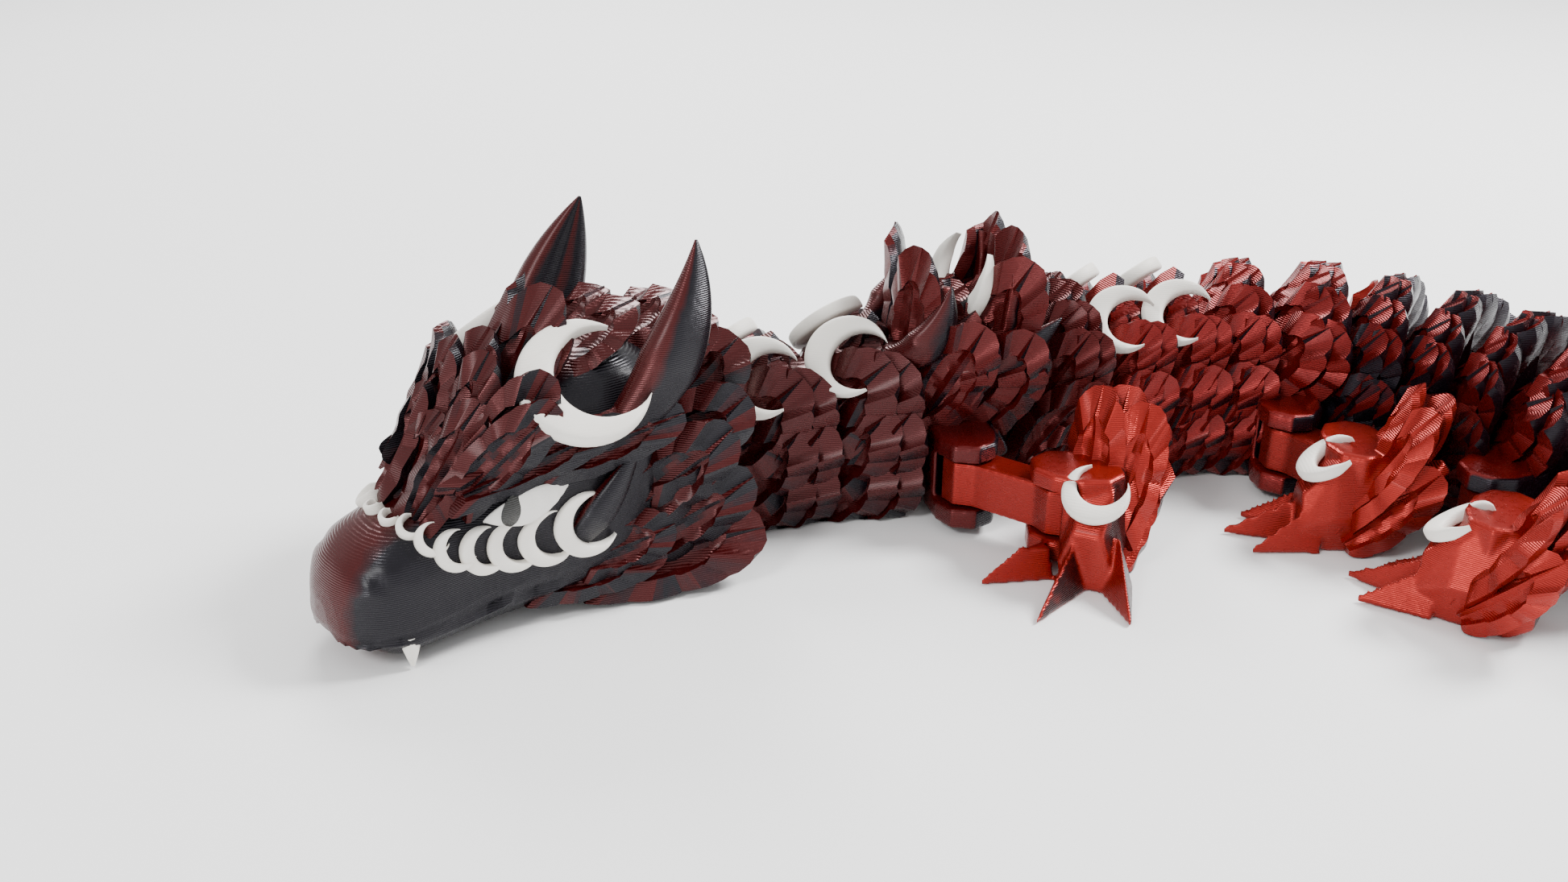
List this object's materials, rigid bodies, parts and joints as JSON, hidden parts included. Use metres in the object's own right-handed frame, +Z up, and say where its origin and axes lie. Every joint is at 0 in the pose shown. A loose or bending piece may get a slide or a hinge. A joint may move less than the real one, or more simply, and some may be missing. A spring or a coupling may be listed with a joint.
{
  "type": "articulated toy dragon",
  "caption": "Jointed plastic dragon toy printed in place: horned head, chain of scaled body links with inlaid crescents, clawed legs and a tapering tail",
  "frame": {"origin": "centre of the bounding box's footprint, on the floor", "axes": "the snout points to -X and the tail runs to +X along the longest extent, +Z is up, and the dragon's left side with its legs faces -Y"},
  "size_m": [0.2758, 0.1184, 0.0537],
  "materials": {
    "two_tone_plastic": "silk sheen, dark red from one side and black from the other, fine layer lines",
    "copper_red_plastic": "silk sheen coppery red with fine layer lines",
    "ivory_plastic": "smooth matte ivory inlay",
    "eye_white": "satin white with a dark upright pupil"
  },
  "bodies": {
    "head": {"brow_moon_left": "ivory_plastic", "brow_moon_right": "ivory_plastic", "eye_left": "eye_white", "eye_right": "eye_white", "fang_left": "ivory_plastic", "fang_right": "ivory_plastic", "head": "two_tone_plastic", "horn_left": "two_tone_plastic", "horn_right": "two_tone_plastic", "muzzle_moons_left": "ivory_plastic", "muzzle_moons_right": "ivory_plastic"},
    "neck_1": {"neck_1": "two_tone_plastic", "neck_1_moon_left": "ivory_plastic", "neck_1_moon_right": "ivory_plastic"},
    "neck_2": {"neck_2": "two_tone_plastic", "neck_2_moon_left": "ivory_plastic", "neck_2_moon_right": "ivory_plastic"},
    "shoulder": {"shoulder": "two_tone_plastic", "shoulder_moon": "ivory_plastic"},
    "trunk_1": {"trunk_1": "two_tone_plastic"},
    "trunk_2": {"trunk_2": "two_tone_plastic", "trunk_2_moon_left": "ivory_plastic", "trunk_2_moon_right": "ivory_plastic"},
    "trunk_3": {"trunk_3": "two_tone_plastic", "trunk_3_moon_left": "ivory_plastic", "trunk_3_moon_right": "ivory_plastic"},
    "trunk_4": {"trunk_4": "two_tone_plastic"},
    "middle": {"middle": "two_tone_plastic"},
    "trunk_5": {"trunk_5": "two_tone_plastic"},
    "trunk_6": {"trunk_6": "two_tone_plastic"},
    "trunk_7": {"trunk_7": "two_tone_plastic"},
    "hip": {"hip": "two_tone_plastic"},
    "tail_1": {"tail_1": "two_tone_plastic"},
    "tail_2": {"tail_2": "two_tone_plastic"},
    "tail_3": {"tail_3": "two_tone_plastic"},
    "tail_4": {"tail_4": "two_tone_plastic"},
    "tail_5": {"tail_5": "two_tone_plastic"},
    "tail_6": {"tail_6": "two_tone_plastic"},
    "tail_tip": {"tail_tip": "two_tone_plastic"},
    "front_left_arm": {"front_left_arm": "copper_red_plastic"},
    "front_left_foot": {"front_left_foot": "copper_red_plastic", "front_left_foot_moon": "ivory_plastic"},
    "front_right_arm": {"front_right_arm": "copper_red_plastic"},
    "front_right_foot": {"front_right_foot": "copper_red_plastic", "front_right_foot_moon": "ivory_plastic"},
    "middle_left_arm": {"middle_left_arm": "copper_red_plastic"},
    "middle_left_foot": {"middle_left_foot": "copper_red_plastic", "middle_left_foot_moon": "ivory_plastic"},
    "middle_right_arm": {"middle_right_arm": "copper_red_plastic"},
    "middle_right_foot": {"middle_right_foot": "copper_red_plastic", "middle_right_foot_moon": "ivory_plastic"},
    "hind_left_arm": {"hind_left_arm": "copper_red_plastic"},
    "hind_left_foot": {"hind_left_foot": "copper_red_plastic", "hind_left_foot_moon": "ivory_plastic"},
    "hind_right_arm": {"hind_right_arm": "copper_red_plastic"},
    "hind_right_foot": {"hind_right_foot": "copper_red_plastic", "hind_right_foot_moon": "ivory_plastic"}
  },
  "joints": [
    {"name": "shoulder_to_neck_2", "type": "hinge", "parent": "shoulder", "child": "neck_2", "pos_m": [-0.05219, -0.00007, 0.012], "axis": [0, 0, 1], "range_deg": [-15.5, 19.5]},
    {"name": "neck_2_to_neck_1", "type": "hinge", "parent": "neck_2", "child": "neck_1", "pos_m": [-0.06888, -0.00331, 0.012], "axis": [0, 0, 1], "range_deg": [-31.5, 3.5]},
    {"name": "neck_1_to_head", "type": "hinge", "parent": "neck_1", "child": "head", "pos_m": [-0.08429, -0.0105, 0.012], "axis": [0, 0, 1], "range_deg": [-33.5, 1.5]},
    {"name": "shoulder_to_trunk_1", "type": "hinge", "parent": "shoulder", "child": "trunk_1", "pos_m": [-0.03173, 0.00465, 0.012], "axis": [0, 0, 1], "range_deg": [-14, 5]},
    {"name": "trunk_1_to_trunk_2", "type": "hinge", "parent": "trunk_1", "child": "trunk_2", "pos_m": [-0.02076, 0.00843, 0.012], "axis": [0, 0, 1], "range_deg": [-9, 9]},
    {"name": "trunk_2_to_trunk_3", "type": "hinge", "parent": "trunk_2", "child": "trunk_3", "pos_m": [-0.00993, 0.01259, 0.012], "axis": [0, 0, 1], "range_deg": [-3, 17]},
    {"name": "trunk_3_to_trunk_4", "type": "hinge", "parent": "trunk_3", "child": "trunk_4", "pos_m": [0.00127, 0.01559, 0.012], "axis": [0, 0, 1], "range_deg": [0, 25]},
    {"name": "trunk_4_to_middle", "type": "hinge", "parent": "trunk_4", "child": "middle", "pos_m": [0.01287, 0.01579, 0.012], "axis": [0, 0, 1], "range_deg": [0, 25]},
    {"name": "middle_to_trunk_5", "type": "hinge", "parent": "middle", "child": "trunk_5", "pos_m": [0.027, 0.01253, 0.012], "axis": [0, 0, 1], "range_deg": [0, 27]},
    {"name": "trunk_5_to_trunk_6", "type": "hinge", "parent": "trunk_5", "child": "trunk_6", "pos_m": [0.03749, 0.00671, 0.012], "axis": [0, 0, 1], "range_deg": [0, 27]},
    {"name": "trunk_6_to_trunk_7", "type": "hinge", "parent": "trunk_6", "child": "trunk_7", "pos_m": [0.04598, -0.00177, 0.012], "axis": [0, 0, 1], "range_deg": [-1, 24]},
    {"name": "trunk_7_to_hip", "type": "hinge", "parent": "trunk_7", "child": "hip", "pos_m": [0.05234, -0.01195, 0.012], "axis": [0, 0, 1], "range_deg": [-1, 19]},
    {"name": "hip_to_tail_1", "type": "hinge", "parent": "hip", "child": "tail_1", "pos_m": [0.05823, -0.02519, 0.012], "axis": [0, 0, 1], "range_deg": [-28.5, 6.5]},
    {"name": "tail_1_to_tail_2", "type": "hinge", "parent": "tail_1", "child": "tail_2", "pos_m": [0.06512, -0.03503, 0.012], "axis": [0, 0, 1], "range_deg": [-29.5, 5.5]},
    {"name": "tail_2_to_tail_3", "type": "hinge", "parent": "tail_2", "child": "tail_3", "pos_m": [0.07353, -0.04287, 0.012], "axis": [0, 0, 1], "range_deg": [-30.5, 4.5]},
    {"name": "tail_3_to_tail_4", "type": "hinge", "parent": "tail_3", "child": "tail_4", "pos_m": [0.08305, -0.04837, 0.012], "axis": [0, 0, 1], "range_deg": [-30.5, 4.5]},
    {"name": "tail_4_to_tail_5", "type": "hinge", "parent": "tail_4", "child": "tail_5", "pos_m": [0.09309, -0.05144, 0.012], "axis": [0, 0, 1], "range_deg": [-29.5, 5.5]},
    {"name": "tail_5_to_tail_6", "type": "hinge", "parent": "tail_5", "child": "tail_6", "pos_m": [0.10306, -0.05231, 0.012], "axis": [0, 0, 1], "range_deg": [-27.5, 7.5]},
    {"name": "tail_6_to_tail_tip", "type": "hinge", "parent": "tail_6", "child": "tail_tip", "pos_m": [0.11252, -0.05148, 0.012], "axis": [0, 0, 1], "range_deg": [-25.5, 9.5]},
    {"name": "front_left_swing", "type": "hinge", "parent": "shoulder", "child": "front_left_arm", "pos_m": [-0.0392, -0.01411, 0.012], "axis": [0, 0, -1], "range_deg": [-18, 24]},
    {"name": "front_left_elbow", "type": "hinge", "parent": "front_left_arm", "child": "front_left_foot", "pos_m": [-0.02563, -0.02434, 0.012], "axis": [0, 0, 1], "range_deg": [-26, 20]},
    {"name": "front_right_swing", "type": "hinge", "parent": "shoulder", "child": "front_right_arm", "pos_m": [-0.04667, 0.01824, 0.012], "axis": [0, 0, -1], "range_deg": [-26, 16]},
    {"name": "front_right_elbow", "type": "hinge", "parent": "front_right_arm", "child": "front_right_foot", "pos_m": [-0.03843, 0.03311, 0.012], "axis": [0, 0, 1], "range_deg": [-26, 20]},
    {"name": "middle_left_swing", "type": "hinge", "parent": "middle", "child": "middle_left_arm", "pos_m": [0.01702, -0.00179, 0.012], "axis": [0, 0, -1], "range_deg": [-3, 6]},
    {"name": "middle_left_elbow", "type": "hinge", "parent": "middle_left_arm", "child": "middle_left_foot", "pos_m": [0.02371, -0.01294, 0.012], "axis": [0, 0, 1], "range_deg": [-10, 8]},
    {"name": "middle_right_swing", "type": "hinge", "parent": "middle", "child": "middle_right_arm", "pos_m": [0.02431, 0.02978, 0.012], "axis": [0, 0, -1], "range_deg": [-20, 24]},
    {"name": "middle_right_elbow", "type": "hinge", "parent": "middle_right_arm", "child": "middle_right_foot", "pos_m": [0.03412, 0.03831, 0.012], "axis": [0, 0, 1], "range_deg": [-18, 60]},
    {"name": "hind_left_swing", "type": "hinge", "parent": "hip", "child": "hind_left_arm", "pos_m": [0.04134, -0.0256, 0.012], "axis": [0, 0, -1], "range_deg": [-6, 6]},
    {"name": "hind_left_elbow", "type": "hinge", "parent": "hind_left_arm", "child": "hind_left_foot", "pos_m": [0.03864, -0.03832, 0.012], "axis": [0, 0, 1], "range_deg": [-8, 48]},
    {"name": "hind_right_swing", "type": "hinge", "parent": "hip", "child": "hind_right_arm", "pos_m": [0.06984, -0.01291, 0.012], "axis": [0, 0, -1], "range_deg": [-20, 24]},
    {"name": "hind_right_elbow", "type": "hinge", "parent": "hind_right_arm", "child": "hind_right_foot", "pos_m": [0.08256, -0.01562, 0.012], "axis": [0, 0, 1], "range_deg": [-18, 60]}
  ]
}
